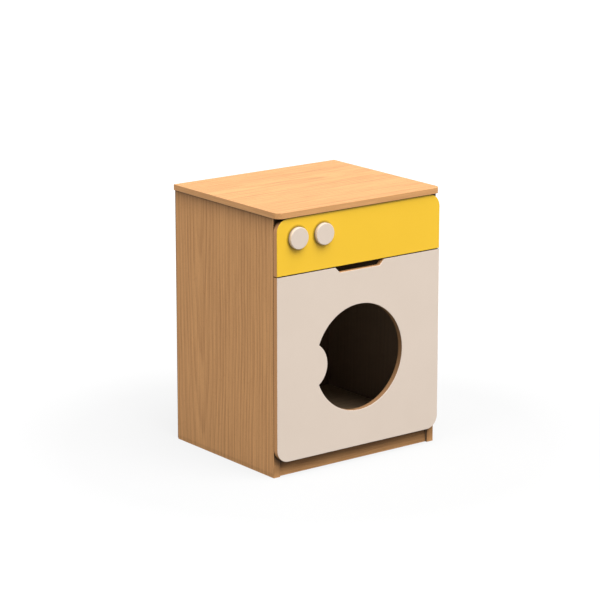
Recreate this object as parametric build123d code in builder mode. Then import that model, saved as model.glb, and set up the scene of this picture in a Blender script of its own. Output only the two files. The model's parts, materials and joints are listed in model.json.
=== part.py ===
"""Play washing machine of coated board: cabinet, control panel with two knobs, drop-down door.

X runs left to right, Y from front to back, Z up, in millimetres. The origin lies on the floor,
under the middle of the whole object.
"""
import os

from build123d import *

os.makedirs("parts", exist_ok=True)

# ---------------------------------------------------------------- cabinet
cabinet_w = 458.0            # over both side panels
cabinet_h = 600.0            # floor to the top of the worktop
side_depth = 367.6           # side panel with its front edge band
board_t = 18.0               # coated board of the sides, bottom, divider and plinth
side_band_t = 2.0
band_land = 1.0              # straight edge left behind the rounded arris of an edge band
bottom_band_t = 1.0
door_low_z = 36.4            # lower edge of the door, top of the plinth
plinth_relief = 0.4          # plinth face behind the hinge seat
back_t = 3.2
back_floor_gap = 2.0
back_side_inset = 1.0
back_top_gap = 0.2
drill_clear = 0.1            # on the radius of every glued or screwed fitting
drill_run_out = 0.5          # a blind hole's depth past its fitting

# ---------------------------------------------------------------- worktop
worktop_t = 13.6
worktop_side_overhang = 1.0
worktop_nose = 3.5           # beyond the face of the door
worktop_rear_overhang = 1.8  # beyond the back panel
worktop_corner_r = 18.0
worktop_band_t = 2.0
worktop_cover = 4.1          # board left over the holes in its underside

# ---------------------------------------------------------------- fronts
core_t = 11.2                # beech plywood
facing_t = 2.4               # coloured sheet bonded to it
facing_land = 1.6            # straight edge left behind the rounded arris of the facing
core_arris_r = 1.2
door_gap = 0.3               # closed door to the side panels
front_corner_r = 30.0
panel_h = 126.4              # control panel
front_seam = 2.0             # between door and control panel
panel_top_gap = 1.0          # control panel to the underside of the worktop

# ---------------------------------------------------------------- porthole and finger cut-out
porthole_r = 122.5
porthole_rise = 206.1        # centre above the lower edge of the door
tab_r = 56.0
tab_setback = 24.0           # tab's centre outside the edge of the porthole
notch_top_w = 138.0
notch_floor_w = 112.0
notch_depth = 13.0
notch_corner_r = 3.0

# ---------------------------------------------------------------- knobs
knob_r = 24.25
knob_t = 9.5
knob_front_r = 4.0
knob_back_r = 0.8
knob_drop = 45.9             # axes below the upper edge of the control panel
knob_edge = 54.6             # axis of the left knob from the edge of the control panel
knob_spacing = 70.6
knob_gap = 0.5               # knob to the face of the panel
spindle_r = 3.0
spindle_tail = 2.0           # past the lock nut
spindle_clear = 0.06
bush_r = 5.0
bush_flange_r = 8.0
bush_flange_t = 1.0
flange_clear = 0.3           # between the flange and its recess in the back of the knob
knob_face_t = 2.8            # wood left in front of the insert
spindle_chamfer = 0.6
insert_r = 5.0
close_fit = 0.05             # between pieces that are pressed or glued together
washer_r = 9.0
washer_t = 1.2
washer_gap = 0.3
nut_flats = 10.0
nut_t = 6.0

# ---------------------------------------------------------------- door hinges
hinge_edge = 89.0            # middle of each hinge from the edge of the door
hinge_len = 50.0
leaf_t = 1.4
leaf_h = 16.0                # from the pin's axis to the edge of the leaf
hinge_pin_r = 1.25
hinge_pin_clear = 0.05
hinge_head_r = 2.1
hinge_head_t = 0.8
knuckle_drop = 0.7           # knuckles below the lower edge of the door
knuckle_gap = 0.3
roll_slit = 0.35
hinge_screw_end = 10.0       # screws from the ends of the leaf
hinge_screw_edge = 5.5       # screws from the edge of the leaf
screw_cover = 2.6            # plywood left in front of a screw's point
hinge_screw_r = 1.4
hinge_screw_head_r = 2.6
countersink_angle = 90.0

# ---------------------------------------------------------------- magnetic catch
catch_edge = 79.0            # middle of the catch from the right edge of the door
catch_w = 26.0
catch_ears_w = 46.0
catch_ear_t = 2.6
catch_corner_r = 1.3
catch_d = 15.0
catch_side_wall = 4.0        # beside the magnet
catch_back_wall = 6.0        # behind the magnet
catch_low_wall = 3.0         # under the magnet and its pole plates
pole_t = 1.2
pole_h = 9.0
pole_proud = 0.6
strike_w = 24.0
strike_h = 9.0
strike_t = 1.2
strike_corner_r = 1.3
strike_gap = 0.3
strike_edge = 2.0            # strike plate below the top edge of the door

# ---------------------------------------------------------------- board fittings
cam_r = 7.4
cam_cover = 5.5              # board left under the cam
cam_setback = 24.0           # cam's axis from the joint
cam_recess_w = 1.4
cam_recess_len = 7.0
cam_recess_t = 2.0
bolt_thread_r = 2.9
bolt_thread_len = 11.0
bolt_collar_t = 1.0
bolt_shank_r = 2.2
bolt_head_r = 3.2
bolt_head_t = 3.6
bolt_bore_r = 4.0
cam_clear = 0.2              # cam to the shank and head of its bolt
dowel_r = 3.95
dowel_in_board = 20.0
dowel_in_side = 10.0
dowel_chamfer = 1.0
cam_inset = 60.0             # first cam from the front, last cam from the rear
dowel_step = 32.0            # dowel beside each cam

# ---------------------------------------------------------------- brackets and screws
bracket_leg = 20.0
bracket_w = 16.0
bracket_t = 2.0
bracket_hole_edge = 8.0      # hole from the end of each leg
bracket_bend_r = 2.0
bracket_screw_r = 1.7
bracket_screw_head_r = 3.4
bracket_screw_head_t = 2.0
pan_edge_t = 0.8             # straight edge under the bevel of a pan head
screw_point_len = 2.6
bracket_top_inset = 22.0     # control panel brackets from the worktop
bracket_low_inset = 24.0     # control panel brackets from the divider
plinth_bracket_edge = 91.0   # plinth brackets from the side panels
back_screw_r = 1.5
back_screw_len = 13.0
back_screw_head_r = 3.2
back_screw_head_t = 1.6
back_screw_count = 5         # down each side
back_screw_end = 40.0        # first and last one from the ends of the panel
back_board_screw_edge = 101.0  # those into the bottom board and divider, from the side panels

# ================================================================ derived places
inner_x = cabinet_w / 2 - board_t
side_h = cabinet_h - worktop_t
front_t = core_t + facing_t
knob_reach = front_t + knob_gap + knob_t
worktop_reach = door_gap + front_t + worktop_nose
rear_reach = side_depth + back_t + worktop_rear_overhang
sides_front_y = (max(knob_reach, worktop_reach) - rear_reach) / 2
sides_rear_y = sides_front_y + side_depth
door_inner_y = sides_front_y - door_gap
panel_face_y = sides_front_y - front_t
panel_top_z = side_h - panel_top_gap
panel_low_z = panel_top_z - panel_h
door_top_z = panel_low_z - front_seam
worktop_w = cabinet_w + 2 * worktop_side_overhang
worktop_front_y = sides_front_y - worktop_reach
worktop_rear_y = sides_front_y + rear_reach

worktop_hole = worktop_t - worktop_cover - drill_run_out
porthole_z = door_low_z + porthole_rise
tab_x = -porthole_r - tab_setback
knob_z = panel_top_z - knob_drop
hinge_x = cabinet_w / 2 - hinge_edge
catch_x = cabinet_w / 2 - catch_edge
plinth_bracket_x = inner_x - plinth_bracket_edge
back_board_screw_x = inner_x - back_board_screw_edge

knuckle_r = hinge_pin_r + hinge_pin_clear + leaf_t
hinge_y = door_inner_y + knuckle_r
hinge_z = door_low_z - knuckle_r - knuckle_drop
hinge_screw_len = leaf_t + core_t - screw_cover
bracket_screw_len = bracket_t + core_t - screw_cover
bracket_hole = bracket_leg - bracket_hole_edge
board_front_y = hinge_y + knuckle_r          # the cabinet leaves are screwed to this face
plinth_front_y = board_front_y + plinth_relief
bottom_mid_z = door_low_z + board_t / 2
divider_mid_z = panel_low_z + board_t / 2


def finish(piece, name):
    """Label a finished sub-part and write its STEP file."""
    piece.part.label = name
    export_step(piece.part, f"parts/{name}.step")


def drill(sites, radius, depth):
    """Blind holes against each site's normal, as deep as the fitting and a little more."""
    with Locations(*sites):
        Hole(radius + drill_clear, depth + drill_run_out)


def bore_forward(sites, radius, depth):
    """Blind holes along each site's normal."""
    with Locations(*sites):
        Cylinder(
            radius + drill_clear, depth + drill_run_out,
            align=(Align.CENTER, Align.CENTER, Align.MIN), mode=Mode.SUBTRACT,
        )


def cam_seats(sites):
    """Pocket for the cam and bore for its bolt, in the board that each site's normal points into."""
    bore_forward(sites, bolt_bore_r, cam_setback)
    with Locations(*sites):
        with Locations((board_t / 2, 0, cam_setback)):
            Cylinder(
                cam_r + drill_clear, board_t - cam_cover + drill_run_out, rotation=(0, 90, 0),
                align=(Align.CENTER, Align.CENTER, Align.MAX), mode=Mode.SUBTRACT,
            )


def screw(head_r, shank_r, length, pan_t=0):
    """Screw along -Z from its seat at z = 0: a pan head above the seat, or a countersunk one in it."""
    if pan_t:
        top_r = head_r - pan_t + pan_edge_t
        head = [(0, pan_t), (top_r, pan_t), (head_r, pan_edge_t), (head_r, 0), (shank_r, 0)]
    else:
        head = [(0, 0), (head_r, 0), (shank_r, shank_r - head_r)]
    point = [(shank_r, screw_point_len - length), (0, -length), head[0]]
    with BuildPart() as blank:
        with BuildSketch(Plane.XZ):
            with BuildLine():
                Polyline(*head, *point)
            make_face()
        revolve(axis=Axis.Z)
    return blank.part


def scatter(name, fitting, sites):
    """One node of identical fittings, a separate solid at each site."""
    with BuildPart() as group:
        with Locations(*sites):
            add(fitting)
    finish(group, name)


# ================================================================ sites of the fittings
# A site lies in a joint's face. Its normal points into the board that holds the cam, and its
# X direction points to the face of that board where the cam is open.
cam_ys = (sides_front_y + cam_inset, sides_rear_y - cam_inset)
dowel_ys = (cam_ys[0] + dowel_step, cam_ys[1] - dowel_step)
board_cam_sites = []
board_dowel_sites = []
plinth_dowel_sites = []
worktop_cam_sites = []
worktop_dowel_sites = []
for sign in (-1, 1):
    inward = (-sign, 0, 0)
    for mid_z, cam_side in ((bottom_mid_z, -1), (divider_mid_z, 1)):
        for y in cam_ys:
            face = Plane((sign * inner_x, y, mid_z), x_dir=(0, 0, cam_side), z_dir=inward)
            board_cam_sites.append(face)
        for y in dowel_ys:
            board_dowel_sites.append(Plane((sign * inner_x, y, mid_z), z_dir=inward))
    plinth_mid = (sign * inner_x, plinth_front_y + board_t / 2, door_low_z / 2)
    plinth_dowel_sites.append(Plane(plinth_mid, z_dir=inward))
    side_mid_x = sign * (inner_x + board_t / 2)
    for y in cam_ys:
        worktop_cam_sites.append(Plane((side_mid_x, y, side_h), x_dir=inward, z_dir=(0, 0, -1)))
    for y in dowel_ys:
        worktop_dowel_sites.append(Plane((side_mid_x, y, side_h), z_dir=(0, 0, -1)))

# A bracket's site is the inner corner it sits in: one leg along X, the other along Y.
panel_bracket_sites = []
for sign in (-1, 1):
    for z in (panel_low_z + board_t + bracket_low_inset, side_h - bracket_top_inset):
        corner = (sign * inner_x, sides_front_y, z)
        panel_bracket_sites.append(Plane(corner, x_dir=(-sign, 0, 0), z_dir=(0, 0, -sign)))
plinth_bracket_sites = []
for sign in (-1, 1):
    corner = (sign * plinth_bracket_x, plinth_front_y + board_t, door_low_z)
    plinth_bracket_sites.append(Plane(corner, x_dir=(0, 1, 0), z_dir=(-1, 0, 0)))


def bracket_screw_sites(brackets, leg):
    """Head seats on one leg of each bracket."""
    sites = []
    for corner in brackets:
        if leg == "x":
            seat = corner.from_local_coords((bracket_hole, bracket_t, 0))
            sites.append(Plane(seat, z_dir=corner.y_dir))
        else:
            seat = corner.from_local_coords((bracket_t, bracket_hole, 0))
            sites.append(Plane(seat, z_dir=corner.x_dir))
    return sites


# The x leg of a panel bracket lies on the control panel, its y leg on the side panel.
# The x leg of a plinth bracket lies under the bottom board, its y leg on the plinth.
panel_leg_sites = bracket_screw_sites(panel_bracket_sites, "x")
side_leg_sites = bracket_screw_sites(panel_bracket_sites, "y")
bottom_leg_sites = bracket_screw_sites(plinth_bracket_sites, "x")
plinth_leg_sites = bracket_screw_sites(plinth_bracket_sites, "y")

# Hinge screws: into the edge of the bottom board, and into the door.
hinge_screw_z = hinge_z + leaf_h - hinge_screw_edge
hinge_screw_x = hinge_len / 2 - hinge_screw_end
cabinet_leaf_sites = []
door_leaf_sites = []
for sign in (-1, 1):
    for step in (-hinge_screw_x, hinge_screw_x):
        x = sign * hinge_x + step
        cabinet_leaf_sites.append(Plane((x, board_front_y - leaf_t, hinge_screw_z), z_dir=(0, -1, 0)))
        door_leaf_sites.append(Plane((x, door_inner_y + leaf_t, hinge_screw_z), z_dir=(0, 1, 0)))

# Magnetic catch under the divider, strike plate on the door.
strike_z = door_top_z - strike_edge - strike_h / 2
magnet_w = catch_w - 2 * catch_side_wall
magnet_d = catch_d - catch_back_wall
pole_front_y = door_inner_y + strike_t + strike_gap
catch_front_y = pole_front_y + pole_proud
catch_screw_sites = []
for sign in (-1, 1):
    ear_x = catch_x + sign * (catch_w + catch_ears_w) / 4
    seat = (ear_x, catch_front_y + catch_d / 2, panel_low_z - catch_ear_t)
    catch_screw_sites.append(Plane(seat, z_dir=(0, 0, -1)))
strike_screw_sites = [Plane((catch_x, door_inner_y + strike_t, strike_z), z_dir=(0, 1, 0))]

# Back panel screws: down both sides, and along the bottom board and the divider.
back_rear_y = sides_rear_y + back_t
back_low_z = back_floor_gap
back_top_z = side_h - back_top_gap
back_screw_step = (back_top_z - back_low_z - 2 * back_screw_end) / (back_screw_count - 1)
side_back_sites = []
for sign in (-1, 1):
    for i in range(back_screw_count):
        z = back_low_z + back_screw_end + i * back_screw_step
        x = sign * (inner_x + board_t / 2)
        side_back_sites.append(Plane((x, back_rear_y, z), z_dir=(0, 1, 0)))
bottom_back_sites = []
divider_back_sites = []
for x in (-back_board_screw_x, back_board_screw_x):
    bottom_back_sites.append(Plane((x, back_rear_y, bottom_mid_z), z_dir=(0, 1, 0)))
    divider_back_sites.append(Plane((x, back_rear_y, divider_mid_z), z_dir=(0, 1, 0)))

# Knob axes, normal to the panel and pointing to the front.
knob_left_x = knob_edge - cabinet_w / 2
knob_xs = {"left": knob_left_x, "right": knob_left_x + knob_spacing}
knob_bores = [Plane((x, panel_face_y, knob_z), z_dir=(0, -1, 0)) for x in knob_xs.values()]

# ================================================================ side panels
for side, sign in (("left", -1), ("right", 1)):
    outer_x = sign * cabinet_w / 2
    with BuildPart() as side_panel:
        with BuildSketch(Plane.YZ.offset(outer_x)):
            with Locations((sides_front_y + side_band_t, 0)):
                Rectangle(side_depth - side_band_t, side_h, align=(Align.MIN, Align.MIN))
        extrude(amount=-sign * board_t)
        drill([s for s in board_cam_sites if s.origin.X * sign > 0], bolt_thread_r, bolt_thread_len)
        drill([s for s in board_dowel_sites if s.origin.X * sign > 0], dowel_r, dowel_in_side)
        drill([s for s in plinth_dowel_sites if s.origin.X * sign > 0], dowel_r, dowel_in_side)
        cam_seats([s for s in worktop_cam_sites if s.origin.X * sign > 0])
        bore_forward(
            [s for s in worktop_dowel_sites if s.origin.X * sign > 0], dowel_r, dowel_in_board)
        drill(
            [s for s in side_leg_sites if s.origin.X * sign > 0], bracket_screw_r, bracket_screw_len)
        drill([s for s in side_back_sites if s.origin.X * sign > 0], back_screw_r, back_screw_len)
    finish(side_panel, f"{side}_side_panel")

    with BuildPart() as side_band:
        with BuildSketch(Plane.YZ.offset(outer_x)):
            with Locations((sides_front_y, 0)):
                Rectangle(side_band_t, side_h, align=(Align.MIN, Align.MIN))
        extrude(amount=-sign * board_t)
        fillet(side_band.edges().filter_by(Axis.Z).group_by(Axis.Y)[0], side_band_t - band_land)
    finish(side_band, f"{side}_side_edge_band")

# ================================================================ bottom board and divider
with BuildPart() as bottom_board:
    with BuildSketch(Plane.XY.offset(door_low_z)):
        with Locations((0, board_front_y + bottom_band_t)):
            Rectangle(
                2 * inner_x, sides_rear_y - board_front_y - bottom_band_t,
                align=(Align.CENTER, Align.MIN),
            )
    extrude(amount=board_t)
    cam_seats([s for s in board_cam_sites if s.origin.Z < panel_low_z])
    bore_forward(
        [s for s in board_dowel_sites if s.origin.Z < panel_low_z], dowel_r, dowel_in_board)
    drill(bottom_leg_sites, bracket_screw_r, bracket_screw_len)
    drill(cabinet_leaf_sites, hinge_screw_r, hinge_screw_len)
    drill(bottom_back_sites, back_screw_r, back_screw_len)
finish(bottom_board, "bottom_board")

with BuildPart() as bottom_board_edge_band:
    with BuildSketch(Plane.XY.offset(door_low_z)):
        with Locations((0, board_front_y)):
            Rectangle(2 * inner_x, bottom_band_t, align=(Align.CENTER, Align.MIN))
    extrude(amount=board_t)
    drill(cabinet_leaf_sites, hinge_screw_r, hinge_screw_len)
finish(bottom_board_edge_band, "bottom_board_edge_band")

with BuildPart() as divider_board:
    with BuildSketch(Plane.XY.offset(panel_low_z)):
        with Locations((0, sides_front_y)):
            Rectangle(2 * inner_x, side_depth, align=(Align.CENTER, Align.MIN))
    extrude(amount=board_t)
    cam_seats([s for s in board_cam_sites if s.origin.Z > panel_low_z])
    bore_forward(
        [s for s in board_dowel_sites if s.origin.Z > panel_low_z], dowel_r, dowel_in_board)
    drill(catch_screw_sites, bracket_screw_r, bracket_screw_len)
    drill(divider_back_sites, back_screw_r, back_screw_len)
finish(divider_board, "divider_board")

# ================================================================ plinth and back panel
with BuildPart() as plinth_board:
    with BuildSketch(Plane.XY):
        with Locations((0, plinth_front_y)):
            Rectangle(2 * inner_x, board_t, align=(Align.CENTER, Align.MIN))
    extrude(amount=door_low_z)
    bore_forward(plinth_dowel_sites, dowel_r, dowel_in_board)
    drill(plinth_leg_sites, bracket_screw_r, bracket_screw_len)
finish(plinth_board, "plinth_board")

with BuildPart() as back_panel:
    with BuildSketch(Plane.XZ.offset(-back_rear_y)):
        with Locations((0, back_low_z)):
            Rectangle(
                cabinet_w - 2 * back_side_inset, back_top_z - back_low_z,
                align=(Align.CENTER, Align.MIN),
            )
    extrude(amount=back_t)
    drill(side_back_sites + bottom_back_sites + divider_back_sites, back_screw_r, back_screw_len)
finish(back_panel, "back_panel")


# ================================================================ worktop
def worktop_outline(inset):
    """Plan of the worktop drawn in by its edge bands; only the front corners are rounded."""
    with Locations((0, worktop_front_y + inset)):
        Rectangle(
            worktop_w - 2 * inset, worktop_rear_y - worktop_front_y - inset - worktop_band_t,
            align=(Align.CENTER, Align.MIN),
        )


with BuildPart() as worktop_board:
    with BuildSketch(Plane.XY.offset(side_h)) as worktop_plan:
        worktop_outline(worktop_band_t)
        fillet(worktop_plan.vertices().group_by(Axis.Y)[0], worktop_corner_r - worktop_band_t)
    extrude(amount=worktop_t)
    drill(worktop_cam_sites, bolt_thread_r, worktop_hole)
    drill(worktop_dowel_sites, dowel_r, worktop_hole)
finish(worktop_board, "worktop_board")

with BuildPart() as worktop_edge_band:
    with BuildSketch(Plane.XY.offset(side_h)) as band_plan:
        worktop_outline(0)
        fillet(band_plan.vertices().group_by(Axis.Y)[0], worktop_corner_r)
    extrude(amount=worktop_t)
    band_arris = worktop_edge_band.edges().filter_by(Plane.XY)
    fillet(band_arris - band_arris.group_by(Axis.Y)[-1], worktop_band_t - band_land)
    with BuildSketch(Plane.XY.offset(side_h)) as core_plan:
        worktop_outline(worktop_band_t)
        fillet(core_plan.vertices().group_by(Axis.Y)[0], worktop_corner_r - worktop_band_t)
    extrude(amount=worktop_t, mode=Mode.SUBTRACT)
finish(worktop_edge_band, "worktop_edge_band")

with BuildPart() as worktop_rear_edge_band:
    with BuildSketch(Plane.XY.offset(side_h)):
        with Locations((0, worktop_rear_y)):
            Rectangle(worktop_w, worktop_band_t, align=(Align.CENTER, Align.MAX))
    extrude(amount=worktop_t)
    rear_arris = worktop_rear_edge_band.edges().filter_by(Axis.X).group_by(Axis.Y)[-1]
    fillet(rear_arris, worktop_band_t - band_land)
finish(worktop_rear_edge_band, "worktop_rear_edge_band")


# ================================================================ control panel
def panel_outline(back_y):
    """Outline of the control panel, its two upper corners rounded."""
    with BuildSketch(Plane.XZ.offset(-back_y)) as outline:
        with Locations((0, panel_low_z)):
            Rectangle(
                cabinet_w, panel_top_z - panel_low_z, align=(Align.CENTER, Align.MIN))
        fillet(outline.vertices().group_by(Axis.Y)[-1], front_corner_r)
    return outline.sketch


with BuildPart() as control_panel:
    extrude(panel_outline(sides_front_y), amount=core_t)
    fillet(control_panel.faces().sort_by(Axis.Y)[-1].edges(), core_arris_r)
    drill(knob_bores, bush_r, front_t)
    drill(panel_leg_sites, bracket_screw_r, bracket_screw_len)
finish(control_panel, "control_panel")

with BuildPart() as control_panel_facing:
    extrude(panel_outline(sides_front_y - core_t), amount=facing_t)
    fillet(control_panel_facing.faces().sort_by(Axis.Y)[0].edges(), facing_t - facing_land)
    drill(knob_bores, bush_r, front_t)
finish(control_panel_facing, "control_panel_facing")


# ================================================================ door
def door_outline(back_y):
    """Outline of the door: lower corners rounded, porthole with its tab, finger cut-out."""
    with BuildSketch(Plane.XZ.offset(-back_y)) as outline:
        with Locations((0, door_low_z)):
            Rectangle(cabinet_w, door_top_z - door_low_z, align=(Align.CENTER, Align.MIN))
        fillet(outline.vertices().group_by(Axis.Y)[0], front_corner_r)
        with Locations((0, porthole_z)):
            Circle(porthole_r, mode=Mode.SUBTRACT)
        with Locations((tab_x, porthole_z)):
            Circle(tab_r)
        with BuildLine():
            FilletPolyline(
                (-notch_top_w / 2, door_top_z),
                (-notch_floor_w / 2, door_top_z - notch_depth),
                (notch_floor_w / 2, door_top_z - notch_depth),
                (notch_top_w / 2, door_top_z),
                radius=notch_corner_r,
            )
            Line((notch_top_w / 2, door_top_z), (-notch_top_w / 2, door_top_z))
        make_face(mode=Mode.SUBTRACT)
    return outline.sketch


with BuildPart() as door_panel:
    extrude(door_outline(door_inner_y), amount=core_t)
    fillet(door_panel.faces().sort_by(Axis.Y)[-1].edges(), core_arris_r)
    drill(door_leaf_sites, hinge_screw_r, hinge_screw_len)
    drill(strike_screw_sites, hinge_screw_r, hinge_screw_len)
finish(door_panel, "door_panel")

with BuildPart() as door_facing:
    extrude(door_outline(door_inner_y - core_t), amount=facing_t)
    fillet(door_facing.faces().sort_by(Axis.Y)[0].edges(), facing_t - facing_land)
finish(door_facing, "door_facing")

# ================================================================ knobs
# Along each knob's axis, measured forward from the face of the panel.
recess_floor = bush_flange_t + flange_clear
insert_len = knob_gap + knob_t - recess_floor - knob_face_t
panel_back = -front_t
nut_back = panel_back - washer_gap - washer_t - nut_t
for side, x in knob_xs.items():
    axis = Plane((x, panel_face_y, knob_z), x_dir=(1, 0, 0), z_dir=(0, -1, 0))

    with BuildPart() as knob:
        with BuildSketch(axis.offset(knob_gap)):
            Circle(knob_r)
        extrude(amount=knob_t)
        fillet(knob.edges().sort_by(Axis.Y)[0], knob_front_r)
        fillet(knob.edges().sort_by(Axis.Y)[-1], knob_back_r)
        with Locations(Plane(axis.from_local_coords((0, 0, knob_gap)), z_dir=(0, 1, 0))):
            CounterBoreHole(
                insert_r + close_fit, bush_flange_r + flange_clear, recess_floor - knob_gap,
                recess_floor - knob_gap + insert_len + drill_run_out,
            )
    finish(knob, f"knob_{side}")

    with BuildPart() as insert:
        with BuildSketch(axis.offset(recess_floor)):
            Circle(insert_r)
            Circle(spindle_r + close_fit, mode=Mode.SUBTRACT)
        extrude(amount=insert_len)
    finish(insert, f"knob_{side}_insert")

    with BuildPart() as spindle:
        with BuildSketch(axis.offset(nut_back - spindle_tail)):
            Circle(spindle_r)
        extrude(amount=recess_floor + insert_len - nut_back + spindle_tail)
        chamfer(spindle.edges().filter_by(GeomType.CIRCLE), spindle_chamfer)
    finish(spindle, f"knob_{side}_spindle")

    with BuildPart() as bush:
        with BuildSketch(axis.offset(panel_back)):
            Circle(bush_r)
        extrude(amount=front_t)
        with BuildSketch(axis):
            Circle(bush_flange_r)
        extrude(amount=bush_flange_t)
        with Locations(axis.offset(bush_flange_t)):
            Hole(spindle_r + spindle_clear)
    finish(bush, f"knob_{side}_bush")

    with BuildPart() as washer:
        with BuildSketch(axis.offset(panel_back - washer_gap)):
            Circle(washer_r)
            Circle(spindle_r + close_fit, mode=Mode.SUBTRACT)
        extrude(amount=-washer_t)
    finish(washer, f"knob_{side}_washer")

    with BuildPart() as lock_nut:
        with BuildSketch(axis.offset(nut_back)):
            RegularPolygon(nut_flats / 2, 6, major_radius=False)
            Circle(spindle_r + close_fit, mode=Mode.SUBTRACT)
        extrude(amount=nut_t)
    finish(lock_nut, f"knob_{side}_lock_nut")


# ================================================================ door hinges
def hinge_leaf(mid_x, seat, knuckles):
    """Leaf with rolled knuckles. seat is -1 for the leaf on the door, 1 for the one on the cabinet,
    and knuckles are the X ranges, from the middle, where this leaf is rolled round the pin."""
    plate_y = hinge_y + seat * (knuckle_r - leaf_t / 2)
    plate_low = hinge_z + knuckle_r + knuckle_gap
    with BuildSketch(Plane.YZ.offset(mid_x - hinge_len / 2)) as plate:
        with Locations((plate_y, plate_low)):
            Rectangle(leaf_t, hinge_z + leaf_h - plate_low, align=(Align.CENTER, Align.MIN))
    extrude(plate.sketch, amount=hinge_len)
    for low_x, high_x in knuckles:
        with BuildSketch(Plane.YZ.offset(mid_x + low_x)) as roll:
            with Locations((hinge_y, hinge_z)):
                Circle(knuckle_r)
            with Locations((plate_y, hinge_z)):
                Rectangle(leaf_t, plate_low - hinge_z, align=(Align.CENTER, Align.MIN))
            with Locations((hinge_y, hinge_z)):
                Circle(hinge_pin_r + hinge_pin_clear, mode=Mode.SUBTRACT)
            with Locations((hinge_y + seat * (knuckle_r - leaf_t - roll_slit / 2), hinge_z)):
                Rectangle(
                    roll_slit, knuckle_r, align=(Align.CENTER, Align.MIN), mode=Mode.SUBTRACT)
        extrude(roll.sketch, amount=high_x - low_x)


knuckle_len = (hinge_len - 2 * knuckle_gap) / 3
knuckle_end = hinge_len / 2 - knuckle_len
outer_knuckles = ((-hinge_len / 2, -knuckle_end), (knuckle_end, hinge_len / 2))
middle_knuckle = ((-knuckle_len / 2, knuckle_len / 2),)
for side, sign in (("left", -1), ("right", 1)):
    with BuildPart() as cabinet_leaf:
        hinge_leaf(sign * hinge_x, 1, outer_knuckles)
        with Locations(*[s for s in cabinet_leaf_sites if s.origin.X * sign > 0]):
            CounterSinkHole(
                hinge_screw_r + drill_clear, hinge_screw_head_r + drill_clear, leaf_t,
                counter_sink_angle=countersink_angle,
            )
    finish(cabinet_leaf, f"{side}_hinge_cabinet_leaf")

    with BuildPart() as door_leaf:
        hinge_leaf(sign * hinge_x, -1, middle_knuckle)
        with Locations(*[s for s in door_leaf_sites if s.origin.X * sign > 0]):
            CounterSinkHole(
                hinge_screw_r + drill_clear, hinge_screw_head_r + drill_clear, leaf_t,
                counter_sink_angle=countersink_angle,
            )
    finish(door_leaf, f"{side}_hinge_door_leaf")

    with BuildPart() as hinge_pin:
        with BuildSketch(Plane.YZ.offset(sign * hinge_x - hinge_len / 2)):
            with Locations((hinge_y, hinge_z)):
                Circle(hinge_pin_r)
        extrude(amount=hinge_len)
        for end in (-1, 1):
            head_face = sign * hinge_x + end * hinge_len / 2
            with BuildSketch(Plane.YZ.offset(head_face)):
                with Locations((hinge_y, hinge_z)):
                    Circle(hinge_head_r)
            extrude(amount=end * hinge_head_t)
    finish(hinge_pin, f"{side}_hinge_pin")

hinge_screw = screw(hinge_screw_head_r, hinge_screw_r, hinge_screw_len)
scatter("hinge_cabinet_screws", hinge_screw, cabinet_leaf_sites)
scatter("hinge_door_screws", hinge_screw, door_leaf_sites)

# ================================================================ magnetic catch
catch_mid_y = catch_front_y + catch_d / 2
with BuildPart() as catch_housing:
    with BuildSketch(Plane.XY.offset(panel_low_z)):
        with Locations((catch_x, catch_mid_y)):
            SlotOverall(catch_ears_w, catch_d)
    extrude(amount=-catch_ear_t)
    with BuildSketch(Plane.XY.offset(panel_low_z)):
        with Locations((catch_x, catch_mid_y)):
            RectangleRounded(catch_w, catch_d, catch_corner_r)
    extrude(amount=strike_z - pole_h / 2 - catch_low_wall - panel_low_z)
    with BuildSketch(Plane.XZ.offset(-catch_front_y)):
        with Locations((catch_x, strike_z)):
            Rectangle(magnet_w + 2 * close_fit, pole_h + 2 * close_fit)
    extrude(amount=-magnet_d, mode=Mode.SUBTRACT)
    drill(catch_screw_sites, bracket_screw_r, bracket_screw_len)
finish(catch_housing, "catch_housing")

with BuildPart() as catch_magnet:
    with BuildSketch(Plane.XZ.offset(-catch_front_y)):
        with Locations((catch_x, strike_z)):
            Rectangle(magnet_w, pole_h - 2 * pole_t - 2 * close_fit)
    extrude(amount=-(magnet_d - close_fit))
finish(catch_magnet, "catch_magnet")

with BuildPart() as catch_pole_plates:
    with BuildSketch(Plane.XZ.offset(-pole_front_y)):
        for side_z in (-1, 1):
            with Locations((catch_x, strike_z + side_z * (pole_h - pole_t) / 2)):
                Rectangle(magnet_w, pole_t)
    extrude(amount=-(magnet_d + pole_proud - close_fit))
finish(catch_pole_plates, "catch_pole_plates")

with BuildPart() as catch_strike_plate:
    with BuildSketch(Plane.XZ.offset(-door_inner_y)):
        with Locations((catch_x, strike_z)):
            RectangleRounded(strike_w, strike_h, strike_corner_r)
    extrude(amount=-strike_t)
    with Locations(*strike_screw_sites):
        CounterSinkHole(
            hinge_screw_r + drill_clear, hinge_screw_head_r + drill_clear, strike_t,
            counter_sink_angle=countersink_angle,
        )
finish(catch_strike_plate, "catch_strike_plate")
scatter("catch_strike_screw", hinge_screw, strike_screw_sites)

bracket_screw = screw(
    bracket_screw_head_r, bracket_screw_r, bracket_screw_len, bracket_screw_head_t)
scatter("catch_screws", bracket_screw, catch_screw_sites)

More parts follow.
